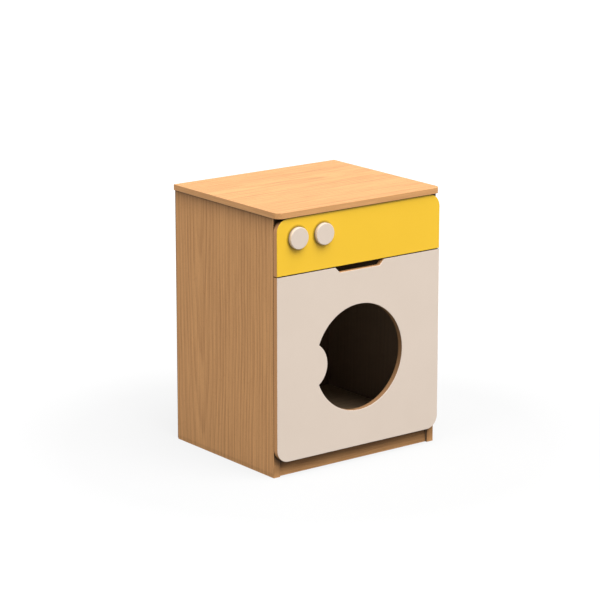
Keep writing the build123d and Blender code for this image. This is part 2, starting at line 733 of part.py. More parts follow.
# ================================================================ angle brackets
with BuildPart() as angle_bracket:
    with BuildSketch(Plane.XY.offset(-bracket_w / 2)) as bracket_profile:
        Rectangle(bracket_leg, bracket_t, align=(Align.MIN, Align.MIN))
        Rectangle(bracket_t, bracket_leg, align=(Align.MIN, Align.MIN))
        inside = bracket_profile.vertices().sort_by_distance((bracket_t, bracket_t, 0))[0]
        fillet(inside, bracket_bend_r)
    extrude(amount=bracket_w)
    with Locations(
        Plane((bracket_hole, bracket_t, 0), z_dir=(0, 1, 0)),
        Plane((bracket_t, bracket_hole, 0), z_dir=(1, 0, 0)),
    ):
        Hole(bracket_screw_r + drill_clear, bracket_t)
scatter("angle_brackets", angle_bracket.part, panel_bracket_sites + plinth_bracket_sites)
scatter(
    "bracket_screws", bracket_screw,
    panel_leg_sites + side_leg_sites + bottom_leg_sites + plinth_leg_sites,
)

# ================================================================ cams, bolts and dowels
with BuildPart() as cam_housing:
    with Locations((board_t / 2, 0, cam_setback)):
        Cylinder(
            cam_r, board_t - cam_cover, rotation=(0, 90, 0),
            align=(Align.CENTER, Align.CENTER, Align.MAX),
        )
    with BuildSketch(Plane.XY.offset(cam_setback - cam_r)):
        Rectangle(2 * (bolt_shank_r + cam_clear), 2 * (bolt_shank_r + cam_clear))
    extrude(amount=cam_r, mode=Mode.SUBTRACT)
    with BuildSketch(Plane.XY.offset(cam_setback - bolt_head_t / 2 - cam_clear)):
        Rectangle(2 * (bolt_head_r + cam_clear), 2 * (bolt_head_r + cam_clear))
    extrude(amount=bolt_head_t + 2 * cam_clear, mode=Mode.SUBTRACT)
    with BuildSketch(Plane.YZ.offset(board_t / 2)):
        with Locations((0, cam_setback)):
            Rectangle(cam_recess_len, cam_recess_w)
            Rectangle(cam_recess_w, cam_recess_len)
    extrude(amount=-cam_recess_t, mode=Mode.SUBTRACT)
scatter("cam_housings", cam_housing.part, board_cam_sites + worktop_cam_sites)


def cam_bolt(thread_len):
    """Bolt screwed into the face of one board, its head held by the cam in the other."""
    head_low = cam_setback - bolt_head_t / 2
    with BuildPart() as bolt:
        with BuildSketch(Plane.XZ):
            with BuildLine():
                Polyline(
                    (0, -thread_len), (bolt_thread_r, -thread_len), (bolt_thread_r, 0),
                    (bolt_bore_r, 0), (bolt_bore_r, bolt_collar_t), (bolt_shank_r, bolt_collar_t),
                    (bolt_shank_r, head_low), (bolt_head_r, head_low),
                    (bolt_head_r, head_low + bolt_head_t), (0, head_low + bolt_head_t),
                    (0, -thread_len),
                )
            make_face()
        revolve(axis=Axis.Z)
    return bolt.part


with BuildPart() as cam_bolts:
    with Locations(*board_cam_sites):
        add(cam_bolt(bolt_thread_len))
    with Locations(*worktop_cam_sites):
        add(cam_bolt(worktop_hole))
finish(cam_bolts, "cam_bolts")


def dowel(in_face):
    """Dowel from in_face deep in one board to its full depth in the other."""
    with BuildPart() as peg:
        with BuildSketch(Plane.XY.offset(-in_face)):
            Circle(dowel_r)
        extrude(amount=in_face + dowel_in_board)
        chamfer(peg.edges().filter_by(GeomType.CIRCLE), dowel_chamfer)
    return peg.part


with BuildPart() as wooden_dowels:
    with Locations(*(board_dowel_sites + plinth_dowel_sites)):
        add(dowel(dowel_in_side))
    with Locations(*worktop_dowel_sites):
        add(dowel(worktop_hole))
finish(wooden_dowels, "wooden_dowels")

back_screw = screw(back_screw_head_r, back_screw_r, back_screw_len, back_screw_head_t)
scatter("back_panel_screws", back_screw, side_back_sites + bottom_back_sites + divider_back_sites)

print(f"door hinge axis  y {hinge_y:.3f}  z {hinge_z:.3f}")
print(f"knob axes  x {knob_xs}  z {knob_z}  panel face y {panel_face_y:.3f}")
print(f"sides front y {sides_front_y:.3f}  rear y {sides_rear_y:.3f}")
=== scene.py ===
import json
import math

import bmesh
import bpy
from mathutils import Matrix, Vector

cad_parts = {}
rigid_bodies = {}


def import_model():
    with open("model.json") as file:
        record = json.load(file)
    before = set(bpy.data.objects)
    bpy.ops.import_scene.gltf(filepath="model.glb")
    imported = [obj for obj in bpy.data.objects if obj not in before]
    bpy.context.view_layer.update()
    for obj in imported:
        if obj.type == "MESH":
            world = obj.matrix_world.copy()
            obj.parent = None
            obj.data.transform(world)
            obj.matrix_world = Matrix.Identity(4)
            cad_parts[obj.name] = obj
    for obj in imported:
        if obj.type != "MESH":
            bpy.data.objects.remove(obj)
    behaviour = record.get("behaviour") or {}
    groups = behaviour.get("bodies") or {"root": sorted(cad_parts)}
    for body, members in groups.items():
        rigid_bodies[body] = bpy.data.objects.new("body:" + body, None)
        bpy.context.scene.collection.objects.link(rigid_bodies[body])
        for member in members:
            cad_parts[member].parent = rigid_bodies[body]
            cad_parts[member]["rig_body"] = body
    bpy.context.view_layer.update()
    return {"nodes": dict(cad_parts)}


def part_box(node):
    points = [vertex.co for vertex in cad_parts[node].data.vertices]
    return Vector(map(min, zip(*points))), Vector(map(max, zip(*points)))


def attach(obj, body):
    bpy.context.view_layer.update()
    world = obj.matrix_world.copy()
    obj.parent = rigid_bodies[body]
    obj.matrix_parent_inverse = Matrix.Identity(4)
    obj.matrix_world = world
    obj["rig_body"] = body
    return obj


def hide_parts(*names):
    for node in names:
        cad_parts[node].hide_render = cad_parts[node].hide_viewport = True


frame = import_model()
nodes = frame["nodes"]


# Node trees: inputs given by name or index, as a value or as the socket that feeds them.
def addNode(tree, kind, inputs=None, **settings):
    made = tree.nodes.new(kind)
    for name, value in settings.items():
        setattr(made, name, value)
    for key, value in (inputs or {}).items():
        if isinstance(value, bpy.types.NodeSocket):
            tree.links.new(value, made.inputs[key])
        else:
            made.inputs[key].default_value = value
    return made


def newGroup(name, kind, inputs, outputs):
    # each input is given by its default, or by its type where it has none
    socketTypes = {float: "NodeSocketFloat", int: "NodeSocketInt", tuple: "NodeSocketColor"}
    group = bpy.data.node_groups.new(name, kind)
    for label, value in inputs.items():
        socket = group.interface.new_socket(name=label, in_out="INPUT",
                                            socket_type=socketTypes.get(type(value), value))
        if type(value) in socketTypes:
            socket.default_value = value
    for label, socketType in outputs.items():
        group.interface.new_socket(name=label, in_out="OUTPUT", socket_type=socketType)
    return group, group.nodes.new("NodeGroupInput"), group.nodes.new("NodeGroupOutput")


def feed(tree, node, sockets):
    for label, socket in sockets.items():
        tree.links.new(socket, node.inputs[label])


def stretched(tree, vector, scales, detail=3.0, roughness=0.55):
    # noise with a scale of its own on each axis, in cycles per metre
    scaled = addNode(tree, "ShaderNodeVectorMath", {0: vector, 1: scales}, operation="MULTIPLY")
    return addNode(tree, "ShaderNodeTexNoise", {
        "Vector": scaled.outputs[0], "Scale": 1.0, "Detail": detail, "Roughness": roughness,
    }).outputs["Fac"]


def remap(tree, value, fromLow, fromHigh, toLow=0.0, toHigh=1.0):
    return addNode(tree, "ShaderNodeMapRange", {
        "Value": value, "From Min": fromLow, "From Max": fromHigh,
        "To Min": toLow, "To Max": toHigh}).outputs["Result"]


def maths(tree, operation, value, *others):
    # one node for each further value, from left to right
    for other in others or (0.0,):
        value = addNode(tree, "ShaderNodeMath", {0: value, 1: other},
                        operation=operation).outputs[0]
    return value


def plus(tree, *terms):
    return maths(tree, "ADD", *terms)


def times(tree, *factors):
    return maths(tree, "MULTIPLY", *factors)


def blendColors(tree, factor, first, second, mode="MIX"):
    return addNode(tree, "ShaderNodeMix", {0: factor, 6: first, 7: second},
                   data_type="RGBA", blend_type=mode).outputs[2]


# Beech: X is along the grain, Y across the face and Z into the board. Growth rings cut at a slant
# make arches about the heart line, and straight lines away from it.
beechLook = {
    "specular": 0.12, "relief": 0.00006, "bumpStrength": 0.5,
    "ringPitch": 0.0115, "ringWander": 0.9, "gradualRise": (0.25, 0.80), "sharpEnd": (1.0, 0.86),
    # noises: cycles per metre along and across the grain, and detail
    "noises": {"drift": (1.7, 5.0, 2.0), "uneven": (1.2, 38.0, 2.0), "fade": (2.4, 60.0, 2.0),
               "bands": (1.0, 20.0, 2.0), "streaks": (4.0, 330.0, 3.0),
               "dashes": (16.0, 520.0, 2.0), "fibres": (30.0, 1150.0, 3.0),
               "flecks": (190.0, 1500.0, 1.0)},
    # how much each one darkens the wood
    "bands": 0.16, "streaks": 0.50, "dashes": 0.30, "rings": 0.60, "fibres": 0.20,
    "middleTone": 0.48, "baseTone": 0.22, "fleckTint": (0.60, 0.52, 0.46, 1),
}


def beechGrainGroup():
    group, given, made = newGroup("beechGrain", "ShaderNodeTree", {
        "Vector": "NodeSocketVector",
        "Light": (0.66, 0.37, 0.17, 1),
        "Dark": (0.52, 0.27, 0.11, 1),
        "Heart": 0.0,
        "Depth": 0.045,
        "Slant": -0.06,
        "Rings": 1.0,
        "Streaks": 1.0,
        "Flecks": 0.5,
    }, {"Color": "NodeSocketColor", "Height": "NodeSocketFloat", "Gloss": "NodeSocketFloat"})
    look, straight = beechLook, given.outputs["Vector"]

    def noise(name, vector, roughness=0.55):
        along, across, detail = look["noises"][name]
        return stretched(group, vector, (along, across, across), detail, roughness)

    drift = noise("drift", straight)
    wander = addNode(group, "ShaderNodeCombineXYZ", {
        1: remap(group, drift, 0.0, 1.0, -0.014, 0.014),
        2: remap(group, drift, 0.0, 1.0, 0.01, -0.01)}).outputs[0]
    grain = addNode(group, "ShaderNodeVectorMath", {0: straight, 1: wander},
                    operation="ADD").outputs[0]
    split = addNode(group, "ShaderNodeSeparateXYZ", {0: grain})
    fromHeart = maths(group, "SUBTRACT", split.outputs[1], given.outputs["Heart"])
    slope = times(group, split.outputs[0], given.outputs["Slant"])
    depth = plus(group, slope, given.outputs["Depth"], split.outputs[2])
    radius = maths(group, "SQRT", plus(
        group, times(group, fromHeart, fromHeart), times(group, depth, depth)))
    spacing = maths(group, "DIVIDE", radius, look["ringPitch"])
    uneven = times(group, noise("uneven", grain), look["ringWander"])
    year = maths(group, "FRACT", plus(group, spacing, uneven))
    late = times(group, remap(group, year, *look["gradualRise"]),
                 remap(group, year, *look["sharpEnd"]))
    fade = remap(group, noise("fade", grain), 0.30, 0.66, 0.25, 1.0)
    rings = times(group, late, fade, given.outputs["Rings"])
    bands = remap(group, noise("bands", grain), 0.30, 0.70)
    streaks = remap(group, noise("streaks", grain, 0.6), 0.32, 0.68)
    dashes = remap(group, noise("dashes", grain), 0.35, 0.70)
    fibres = noise("fibres", grain)
    flecks = remap(group, noise("flecks", grain), 0.62, 0.72)
    tone = plus(group, times(group, bands, look["bands"]), times(group, streaks, look["streaks"]),
                times(group, dashes, look["dashes"]), -look["middleTone"])
    tone = plus(group, times(group, tone, given.outputs["Streaks"]),
                times(group, rings, look["rings"]), times(group, fibres, look["fibres"]),
                look["baseTone"])
    wood = blendColors(group, tone, given.outputs["Light"], given.outputs["Dark"])
    wood = blendColors(group, times(group, flecks, given.outputs["Flecks"]), wood,
                       look["fleckTint"], mode="MULTIPLY")
    feed(group, made, {
        "Color": wood, "Height": maths(group, "SUBTRACT", fibres, times(group, flecks, 0.8)),
        "Gloss": remap(group, fibres, 0.2, 0.8, -0.03, 0.05)})
    return group


# Plies of the fronts' board, stacked along Y, long grain and end grain in turn.
pliesLook = {"specular": 0.12, "roughness": 0.5, "relief": 0.00008, "bumpStrength": 0.5,
             "shadeReach": 0.03, "wobble": 0.0002, "endGrainTone": 0.55,
             "glueLine": (0.02, 0.07), "glueTint": (0.72, 0.66, 0.6, 1)}


def pliesGroup():
    group, given, made = newGroup("plies", "ShaderNodeTree", {
        "Vector": "NodeSocketVector",
        "Ply": 0.0016,
        "Light": (0.68, 0.36, 0.15, 1),
        "Dark": (0.46, 0.21, 0.085, 1),
    }, {"Color": "NodeSocketColor", "Height": "NodeSocketFloat"})
    vector, wobble = given.outputs["Vector"], pliesLook["wobble"]
    across = addNode(group, "ShaderNodeSeparateXYZ", {0: vector}).outputs[1]
    waves = stretched(group, vector, (9.0, 9.0, 9.0), detail=2.0)
    depth = plus(group, across, remap(group, waves, 0.0, 1.0, -wobble, wobble))
    turn = maths(group, "PINGPONG", maths(group, "DIVIDE", depth, given.outputs["Ply"]), 1.0)
    side = remap(group, turn, 0.42, 0.58)
    longGrain = stretched(group, vector, (30.0, 900.0, 900.0))
    endGrain = stretched(group, vector, (700.0, 500.0, 700.0), detail=4.0)
    grain = addNode(group, "ShaderNodeMix", {0: side, 2: longGrain, 3: endGrain}).outputs[0]
    tone = plus(group, times(group, side, pliesLook["endGrainTone"]),
                remap(group, grain, 0.25, 0.75, 0.0, 0.4))
    fromGlue = maths(group, "ABSOLUTE", maths(group, "SUBTRACT", turn, 0.5))
    clear = remap(group, fromGlue, *pliesLook["glueLine"])
    wood = blendColors(group, tone, given.outputs["Light"], given.outputs["Dark"])
    wood = blendColors(group, maths(group, "SUBTRACT", 1.0, clear), wood, pliesLook["glueTint"],
                       mode="MULTIPLY")
    feed(group, made, {"Color": wood, "Height": plus(group, grain, times(group, clear, 0.4))})
    return group


# Sprayed or pressed colour: a fine skin, and slow changes in tone and gloss.
satinLook = {"specular": 0.35, "bumpStrength": 0.6, "shadeReach": 0.006, "shadeDepth": 0.85,
             "slowShare": 7.0, "darkTint": (0.86, 0.84, 0.82, 1)}


def satinSkinGroup():
    group, given, made = newGroup("satinSkin", "ShaderNodeTree", {
        "Vector": "NodeSocketVector",
        "Color": (0.8, 0.8, 0.8, 1),
        "Variation": 0.03,
        "Pitch": 900.0,
    }, {"Color": "NodeSocketColor", "Height": "NodeSocketFloat", "Gloss": "NodeSocketFloat"})
    plain, variation = given.outputs["Color"], given.outputs["Variation"]
    slow = stretched(group, given.outputs["Vector"], (7.0, 7.0, 7.0))
    pitch = addNode(group, "ShaderNodeVectorMath", {
        0: given.outputs["Vector"], 3: given.outputs["Pitch"]}, operation="SCALE").outputs[0]
    skin = addNode(group, "ShaderNodeTexNoise", {
        "Vector": pitch, "Scale": 1.0, "Detail": 3.0}).outputs["Fac"]
    darker = blendColors(group, 1.0, plain, satinLook["darkTint"], mode="MULTIPLY")
    amount = times(group, remap(group, slow, 0.3, 0.75),
                   times(group, variation, satinLook["slowShare"]))
    mottle = times(group, remap(group, skin, 0.35, 0.7), variation)
    feed(group, made, {
        "Color": blendColors(group, plus(group, amount, mottle), plain, darker),
        "Height": skin, "Gloss": remap(group, slow, 0.25, 0.8, -0.04, 0.07)})
    return group


# What hands leave: faint smudges and a few hairline scratches, as a change of roughness and height.
handledLook = {"smudge": 0.05, "scratch": 0.10, "scratchTurn": (0.5, 0.9, 0.4)}


def handledGroup():
    group, given, made = newGroup("handled", "ShaderNodeTree", {
        "Vector": "NodeSocketVector",
        "Amount": 1.0,
    }, {"Roughness": "NodeSocketFloat", "Height": "NodeSocketFloat"})
    smudges = remap(group, stretched(group, given.outputs["Vector"], (24.0, 17.0, 21.0), detail=5.0,
                                     roughness=0.66), 0.55, 0.72)
    turned = addNode(group, "ShaderNodeMapping", {
        "Vector": given.outputs["Vector"], "Rotation": handledLook["scratchTurn"]}).outputs[0]
    hair = remap(group, stretched(group, turned, (16.0, 1500.0, 1500.0), detail=1.0), 0.74, 0.80)
    where = remap(group, stretched(group, turned, (19.0, 19.0, 19.0), detail=1.0), 0.58, 0.66)
    scratches = times(group, hair, where)
    rough = plus(group, times(group, smudges, handledLook["smudge"]),
                 times(group, scratches, handledLook["scratch"]))
    feed(group, made, {"Roughness": times(group, rough, given.outputs["Amount"]),
                       "Height": times(group, scratches, -1.0)})
    return group


# Painted shade: colour darkened where surfaces stand close together, as ambient occlusion, but not
# at the floor.
shadeLook = {"samples": 16, "floorFade": 0.03, "darkest": 0.04}


def closeShadeGroup():
    group, given, made = newGroup("closeShade", "ShaderNodeTree", {
        "Vector": "NodeSocketVector",
        "Color": (0.8, 0.8, 0.8, 1),
        "Reach": 0.02,
        "Depth": 0.7,
    }, {"Color": "NodeSocketColor"})
    openness = addNode(group, "ShaderNodeAmbientOcclusion", {
        "Distance": given.outputs["Reach"]}, samples=shadeLook["samples"]).outputs["AO"]
    height = addNode(group, "ShaderNodeSeparateXYZ", {0: given.outputs["Vector"]}).outputs[2]
    closed = times(group, maths(group, "SQRT", maths(group, "SUBTRACT", 1.0, openness)),
                   remap(group, height, 0.0, shadeLook["floorFade"]))
    shade = maths(group, "SUBTRACT", 1.0, times(group, closed, given.outputs["Depth"]))
    shade = maths(group, "MAXIMUM", shade, shadeLook["darkest"])
    tint = addNode(group, "ShaderNodeCombineColor", {0: shade, 1: shade, 2: shade}).outputs[0]
    feed(group, made, {
        "Color": blendColors(group, 1.0, given.outputs["Color"], tint, mode="MULTIPLY")})
    return group


# Bright zinc plate: drawn lines of the strip and a slow cloudiness of the plating.
zincLook = {"relief": 0.00001, "bumpStrength": 0.3, "cloudTint": (0.40, 0.42, 0.47, 1)}


def zincGroup():
    group, given, made = newGroup("zincPlate", "ShaderNodeTree", {
        "Vector": "NodeSocketVector",
        "Color": (0.54, 0.55, 0.57, 1),
    }, {"Color": "NodeSocketColor", "Roughness": "NodeSocketFloat", "Height": "NodeSocketFloat"})
    lines = stretched(group, given.outputs["Vector"], (90.0, 3200.0, 3200.0), detail=2.0)
    clouds = stretched(group, given.outputs["Vector"], (210.0, 170.0, 190.0), detail=4.0)
    feed(group, made, {
        "Color": blendColors(group, remap(group, clouds, 0.3, 0.75, 0.0, 0.5),
                             given.outputs["Color"], zincLook["cloudTint"]),
        "Roughness": plus(group, remap(group, lines, 0.25, 0.75, 0.24, 0.36),
                          remap(group, clouds, 0.3, 0.7, -0.04, 0.08)),
        "Height": lines})
    return group


groups = {
    "beech": beechGrainGroup(),
    "plies": pliesGroup(),
    "skin": satinSkinGroup(),
    "handled": handledGroup(),
    "closeShade": closeShadeGroup(),
    "zinc": zincGroup(),
}
print("shader groups:", ", ".join(sorted(groups)))


def newMaterial(name, **constants):
    material = bpy.data.materials.new(name)
    material.use_nodes = True
    tree = material.node_tree
    shader = tree.nodes["Principled BSDF"]
    for label, value in constants.items():
        shader.inputs[label.replace("_", " ")].default_value = value
    place = addNode(tree, "ShaderNodeTexCoord").outputs["Object"]
    return material, tree, shader, place


def useGroup(tree, name, inputs):
    return addNode(tree, "ShaderNodeGroup", inputs, node_tree=groups[name]).outputs


def bumped(tree, shader, height, strength, distance):
    bump = addNode(tree, "ShaderNodeBump", {
        "Strength": strength, "Distance": distance, "Height": height})
    tree.links.new(bump.outputs["Normal"], shader.inputs["Normal"])


# A plain board, and what each finish changes. The turn's letters are the axes along the grain and
# across the face; the top of the sides is darkened in their colour, a painted shadow of the worktop
# above them.
plainBoard = {"shift": (0, 0, 0), "heart": 0.0, "depth": 0.045, "slant": -0.06, "rings": 1.0,
              "streaks": 1.0, "flecks": 0.5, "roughness": 0.52, "reach": 0.03, "closed": 1.4,
              "margin": 0.0, "marks": 0.8, "light": (0.705, 0.368, 0.151, 1),
              "dark": (0.470, 0.232, 0.093, 1), "bounced": (0.120, 0.080, 0.055, 1)}
banding = {"flecks": 0.3, "roughness": 0.40}
# Inside the drum compartment the boards are coloured darker and greyer than the beech outside:
# painted shade for the closed space. There they take no close shade and bounce a paler colour.
inCompartment = {"closed": 0.0, "bounced": (0.29, 0.26, 0.23, 1)}
beechBoards = {
    "side": {"turn": "ZY", "heart": 0.095, "depth": -0.189, "margin": 0.58, "reach": 0.012},
    "sideBand": {"turn": "ZY", "streaks": 0.8, "rings": 0.5, **banding},
    "top": {"turn": "XY", "heart": 0.06, "slant": 0.05, "depth": -0.575, "streaks": 1.8},
    "topBand": {"turn": "XZ", "heart": 0.57, "slant": 0.02, "depth": -0.18, "rings": 0.25,
                **banding},
    "topBandSide": {"turn": "YX", "heart": 0.2, "slant": 0.02, "depth": -0.58, "rings": 0.25,
                    **banding},
    "shelf": {**inCompartment, "turn": "XY", "shift": (1.3, 0.1, 0.0), "slant": 0.05,
              "light": (0.47, 0.33, 0.21, 1), "dark": (0.39, 0.265, 0.16, 1)},
    "divider": {**inCompartment, "turn": "XY", "shift": (2.1, 0.3, 0.0), "slant": 0.05,
                "closed": 2.2, "light": (0.45, 0.31, 0.20, 1), "dark": (0.37, 0.245, 0.15, 1)},
    "inside": {**inCompartment, "turn": "ZY", "shift": (0.9, 0.3, 0.0), "depth": 0.09,
               "light": (0.35, 0.245, 0.16, 1), "dark": (0.295, 0.20, 0.125, 1)},
    "plinth": {"turn": "XZ", "shift": (0.4, 0.0, 0.3), "rings": 0.6},
    "veneer": {"turn": "XZ", "shift": (0.7, -0.2, 0.0), "streaks": 1.3, "flecks": 0.9},
    "dowel": {"turn": "XY", "streaks": 1.2, "rings": 0.0, "flecks": 0.8},
}
grainTurns = {"XY": (0, 0, 0), "XZ": (-math.pi / 2, 0, 0), "YX": (0, 0, -math.pi / 2),
              "ZY": (0, math.pi / 2, 0)}
# where the painted shadow at the top of the sides starts and ends, in metres up, and how sharply it
# deepens
paintedShadowBand = {"from": 0.470, "to": 0.586, "power": 6.0}


def beech(name):
    board = {**plainBoard, **beechBoards[name]}
    material, tree, shader, place = newMaterial(name, Specular_IOR_Level=beechLook["specular"])
    turned = addNode(tree, "ShaderNodeMapping", {
        "Vector": place, "Rotation": grainTurns[board["turn"]],
        "Location": board["shift"]}).outputs[0]
    given = ("light", "dark", "heart", "depth", "slant", "rings", "streaks", "flecks")
    wood = useGroup(tree, "beech", {
        "Vector": turned, **{key.capitalize(): board[key] for key in given}})
    marks = useGroup(tree, "handled", {"Vector": place, "Amount": board["marks"]})
    # painted shade: to light that has already bounced once the wood shows a darker colour than to
    # the camera, so closed spaces stay dark
    bounced = addNode(tree, "ShaderNodeLightPath").outputs["Is Diffuse Ray"]
    color = blendColors(tree, bounced, wood["Color"], board["bounced"])
    color = useGroup(tree, "closeShade", {
        "Vector": place, "Color": color, "Reach": board["reach"],
        "Depth": board["closed"]})["Color"]
    # painted shadow: the colour darkens towards the top of the sides, under the worktop
    height = addNode(tree, "ShaderNodeSeparateXYZ", {0: place}).outputs[2]
    margin = maths(tree, "POWER", remap(tree, height, paintedShadowBand["from"], paintedShadowBand["to"]),
                   paintedShadowBand["power"])
    color = blendColors(tree, times(tree, margin, board["margin"]), color, (0.0, 0.0, 0.0, 1))
    rough = plus(tree, wood["Gloss"], board["roughness"], marks["Roughness"])
    feed(tree, shader, {"Base Color": color, "Roughness": rough})
    bumped(tree, shader, plus(tree, wood["Height"], marks["Height"]), beechLook["bumpStrength"],
           beechLook["relief"])
    return material


def plyEdge(name, light, dark, closed=1.1):
    material, tree, shader, place = newMaterial(
        name, Roughness=pliesLook["roughness"], Specular_IOR_Level=pliesLook["specular"])
    wood = useGroup(tree, "plies", {"Vector": place, "Light": light, "Dark": dark})
    shaded = useGroup(tree, "closeShade", {
        "Vector": place, "Color": wood["Color"], "Reach": pliesLook["shadeReach"],
        "Depth": closed})
    feed(tree, shader, {"Base Color": shaded["Color"]})
    bumped(tree, shader, wood["Height"], pliesLook["bumpStrength"], pliesLook["relief"])
    return material


def satin(name, color, roughness, variation=0.03, pitch=900.0, relief=0.00002):
    material, tree, shader, place = newMaterial(name, Specular_IOR_Level=satinLook["specular"])
    skin = useGroup(tree, "skin", {
        "Vector": place, "Color": color, "Variation": variation, "Pitch": pitch})
    hands = useGroup(tree, "handled", {"Vector": place, "Amount": 1.0})
    shaded = useGroup(tree, "closeShade", {
        "Vector": place, "Color": skin["Color"], "Reach": satinLook["shadeReach"],
        "Depth": satinLook["shadeDepth"]})
    rough = plus(tree, skin["Gloss"], roughness, hands["Roughness"])
    feed(tree, shader, {"Base Color": shaded["Color"], "Roughness": rough})
    bumped(tree, shader, plus(tree, skin["Height"], hands["Height"]), satinLook["bumpStrength"],
           relief)
    return material


def plated(name, color):
    material, tree, shader, place = newMaterial(name, Metallic=1.0)
    zinc = useGroup(tree, "zinc", {"Vector": place, "Color": color})
    feed(tree, shader, {"Base Color": zinc["Color"], "Roughness": zinc["Roughness"]})
    bumped(tree, shader, zinc["Height"], zincLook["bumpStrength"], zincLook["relief"])
    return material


# Hardboard: pressed brown fibres, with the mesh of the press on its rear face.
boardLook = {"light": (0.230, 0.128, 0.066, 1), "dark": (0.125, 0.066, 0.034, 1),
             "cloudTint": (0.82, 0.80, 0.78, 1), "roughness": 0.62, "relief": 0.00012,
             "bumpStrength": 0.5, "meshScale": 95.0}


def hardboard(name):
    material, tree, shader, place = newMaterial(name, Roughness=boardLook["roughness"])
    fibres = stretched(tree, place, (420.0, 420.0, 420.0), detail=6.0, roughness=0.7)
    clouds = stretched(tree, place, (15.0, 15.0, 15.0))
    color = blendColors(tree, remap(tree, fibres, 0.3, 0.72), boardLook["light"],
                        boardLook["dark"])
    color = blendColors(tree, remap(tree, clouds, 0.3, 0.75, 0.0, 0.5), color,
                        boardLook["cloudTint"], mode="MULTIPLY")
    mesh = times(tree, *(addNode(tree, "ShaderNodeTexWave", {
        "Vector": place, "Scale": boardLook["meshScale"], "Distortion": 0.4, "Detail": 1.0,
    }, bands_direction=axis).outputs["Fac"] for axis in "XZ"))
    feed(tree, shader, {"Base Color": color})
    bumped(tree, shader, plus(tree, fibres, mesh), boardLook["bumpStrength"],
           boardLook["relief"])
    return material


finishes = {
    **{name: beech(name) for name in beechBoards},
    "plyEdge": plyEdge("plyEdge", (0.68, 0.36, 0.15, 1), (0.46, 0.21, 0.085, 1)),
    # the porthole's edge is a darker copy of the ply, painted shade; the finger cut-out's a lighter
    # copy with no close shade, painted light
    "holeEdge": plyEdge("holeEdge", (0.40, 0.225, 0.110, 1), (0.275, 0.138, 0.064, 1)),
    "litNotchEdge": plyEdge("litNotchEdge", (0.78, 0.44, 0.20, 1), (0.60, 0.31, 0.13, 1), closed=0.0),
    "yellow": satin("yellow", (0.905, 0.552, 0.027, 1), 0.42),
    "cream": satin("cream", (0.725, 0.611, 0.515, 1), 0.46),
    "knobPaint": satin("knobPaint", (0.720, 0.607, 0.512, 1), 0.46, pitch=420.0, relief=0.00003),
    "hardboard": hardboard("hardboard"),
    "steel": plated("steel", (0.54, 0.55, 0.57, 1)),
    "casting": plated("casting", (0.47, 0.48, 0.50, 1)),
    "brass": plated("brass", (0.78, 0.55, 0.25, 1)),
    "nylon": satin("nylon", (0.80, 0.79, 0.74, 1), 0.38),
    "catchPlastic": satin("catchPlastic", (0.20, 0.105, 0.050, 1), 0.36, variation=0.05),
    "ferrite": satin("ferrite", (0.035, 0.035, 0.040, 1), 0.62, variation=0.12),
}
print("finishes:", len(finishes))


def pieceName(node):
    words = node.split("_")
    return words[0] + "".join(word.capitalize() for word in words[1:])


def bodyOf(node):
    return nodes[node]["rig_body"]


def addObject(name, data):
    made = bpy.data.objects.new(name, data)
    bpy.context.scene.collection.objects.link(made)
    return made


def settle(mesh, node):
    # a finished mesh becomes a piece that stands for its node and rides on that node's body
    piece = addObject(pieceName(node), mesh)
    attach(piece, bodyOf(node))
    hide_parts(node)
    return piece


def mergedCopy(node):
    # the CAD mesh is loose triangles, so shapes are made from a copy with its doubles merged
    work = bmesh.new()
    work.from_mesh(nodes[node].data)
    bmesh.ops.remove_doubles(work, verts=work.verts, dist=0.000002)
    return work


def toMesh(work, name):
    mesh = bpy.data.meshes.new(name)
    work.to_mesh(mesh)
    work.free()
    return mesh


def smoothByAngle(mesh, degrees=32):
    mesh.shade_smooth()
    mesh.set_sharp_from_angle(angle=math.radians(degrees))


def evenNormals(piece):
    # large flat faces keep their own normal where they run into a rounded edge
    even = piece.modifiers.new("evenNormals", "WEIGHTED_NORMAL")
    even.keep_sharp = True
    even.weight = 100


# A CAD node's own shape, its triangles joined into whole faces and its edges eased.
easing = {"flatWithin": 0.4, "sharperThan": 38, "segments": 2}


def eased(node, finish, edge):
    work = mergedCopy(node)
    bmesh.ops.dissolve_limit(work, angle_limit=math.radians(easing["flatWithin"]),
                             verts=work.verts, edges=work.edges)
    mesh = toMesh(work, pieceName(node))
    for layer in [a for a in mesh.attributes if a.name == "custom_normal"]:
        mesh.attributes.remove(layer)
    mesh.materials.clear()
    mesh.materials.append(finishes[finish])
    smoothByAngle(mesh)
    piece = settle(mesh, node)
    if edge:
        ease = piece.modifiers.new("easedEdges", "BEVEL")
        ease.width = edge
        ease.segments = easing["segments"]
        ease.limit_method = "ANGLE"
        ease.angle_limit = math.radians(easing["sharperThan"])
        ease.use_clamp_overlap = False
        evenNormals(piece)
    return piece


# Each board's finish, and how much its edges are eased.
boards = {
    "left_side_panel": ("side", 0.00025),
    "right_side_panel": ("side", 0.00025),
    "left_side_edge_band": ("sideBand", 0.0),
    "right_side_edge_band": ("sideBand", 0.0),
    "bottom_board": ("shelf", 0.0002),
    "bottom_board_edge_band": ("topBand", 0.0002),
    "divider_board": ("divider", 0.0002),
    "plinth_board": ("plinth", 0.0004),
    "back_panel": ("hardboard", 0.0003),
    "worktop_board": ("top", 0.0001),
    "worktop_rear_edge_band": ("topBand", 0.0001),
}
for node, (finish, edge) in boards.items():
    piece = eased(node, finish, edge)
    if finish == "side":
        # the face toward the drum compartment, in the darker inside finish: painted shade for the
        # closed space
        outward = math.copysign(1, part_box(node)[0].x)
        piece.data.materials.append(finishes["inside"])
        for face in piece.data.polygons:
            face.material_index = 1 if face.normal.x * outward < -0.5 else 0
print("boards:", len(boards))


# Outlines, as closed lists of points in a plane.
def arc(centre, radius, start, end, step=0.0012):
    count = max(3, math.ceil(abs(end - start) * radius / step))
    return [(centre[0] + radius * math.cos(start + (end - start) * i / count),
             centre[1] + radius * math.sin(start + (end - start) * i / count))
            for i in range(count + 1)]


